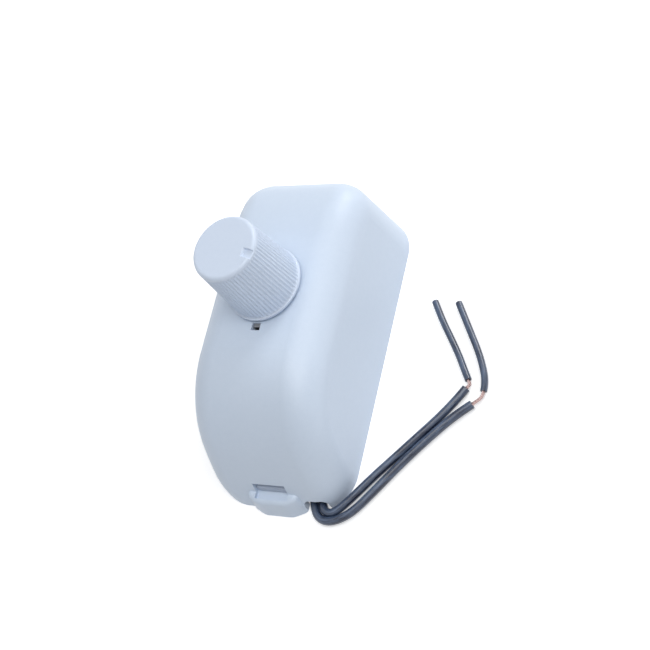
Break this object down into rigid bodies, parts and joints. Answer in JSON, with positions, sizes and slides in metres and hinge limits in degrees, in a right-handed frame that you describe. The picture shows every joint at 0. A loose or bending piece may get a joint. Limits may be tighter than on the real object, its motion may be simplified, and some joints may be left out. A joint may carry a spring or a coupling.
{
  "type": "fan and light dimmer",
  "caption": "Surface dimmer for a fan or a light: deep rounded housing with a sloping lower end, a ribbed knob on a potentiometer, and two bare-ended supply leads.",
  "frame": {"origin": "middle of the flat back that goes against the wall or switch board", "axes": "+Z out of the front along the knob's axis, +Y to the top end, X across the width; the latch and the leads are at -Y"},
  "size_m": [0.0804, 0.0978, 0.0588],
  "materials": {
    "back_plate": "moulded, satin",
    "board_screw_1": "plated",
    "board_screw_2": "plated",
    "circuit_board": "phenolic laminate",
    "copper_a": "bare copper strands",
    "copper_b": "bare copper strands",
    "cover": "moulded, fine satin",
    "diac": "lacquered glass",
    "filter_capacitor": "dipped",
    "heat_sink": "sheet",
    "inner_lead_a": "PVC",
    "inner_lead_b": "PVC",
    "knob": "moulded, satin",
    "lead_a": "PVC",
    "lead_b": "PVC",
    "pot_bushing": "turned",
    "pot_case": "tin plated, pressed",
    "pot_nut": "plated",
    "pot_plate": "tin plated, pressed",
    "pot_rotor": "moulded",
    "pot_shaft": "turned",
    "pot_terminal_1": "tinned",
    "pot_terminal_2": "tinned",
    "pot_terminal_3": "tinned",
    "pot_track": "laminate",
    "pot_washer": "plated",
    "pot_wiper": "spring bronze",
    "resistor_1": "lacquered",
    "resistor_2": "lacquered",
    "slug_a": "PVC",
    "slug_b": "PVC",
    "timing_capacitor": "moulded",
    "triac_body": "moulded epoxy",
    "triac_nut": "plated",
    "triac_pin_1": "tinned",
    "triac_pin_2": "tinned",
    "triac_pin_3": "tinned",
    "triac_screw": "plated",
    "triac_tab": "plated copper"
  },
  "bodies": {
    "base": {"back_plate": "back_plate", "board_screw_1": "board_screw_1", "board_screw_2": "board_screw_2", "circuit_board": "circuit_board", "copper_a": "copper_a", "copper_b": "copper_b", "cover": "cover", "diac": "diac", "filter_capacitor": "filter_capacitor", "heat_sink": "heat_sink", "inner_lead_a": "inner_lead_a", "inner_lead_b": "inner_lead_b", "lead_a": "lead_a", "lead_b": "lead_b", "pot_bushing": "pot_bushing", "pot_case": "pot_case", "pot_nut": "pot_nut", "pot_plate": "pot_plate", "pot_terminal_1": "pot_terminal_1", "pot_terminal_2": "pot_terminal_2", "pot_terminal_3": "pot_terminal_3", "pot_track": "pot_track", "pot_washer": "pot_washer", "resistor_1": "resistor_1", "resistor_2": "resistor_2", "slug_a": "slug_a", "slug_b": "slug_b", "timing_capacitor": "timing_capacitor", "triac_body": "triac_body", "triac_nut": "triac_nut", "triac_pin_1": "triac_pin_1", "triac_pin_2": "triac_pin_2", "triac_pin_3": "triac_pin_3", "triac_screw": "triac_screw", "triac_tab": "triac_tab"},
    "dial": {"knob": "knob", "pot_shaft": "pot_shaft", "pot_rotor": "pot_rotor", "pot_wiper": "pot_wiper"}
  },
  "joints": [
    {"name": "knob_turn", "type": "hinge", "parent": "base", "child": "dial", "pos_m": [0, 0.008, 0.04], "axis": [0, 0, 1], "range_deg": [-48, 252]}
  ]
}
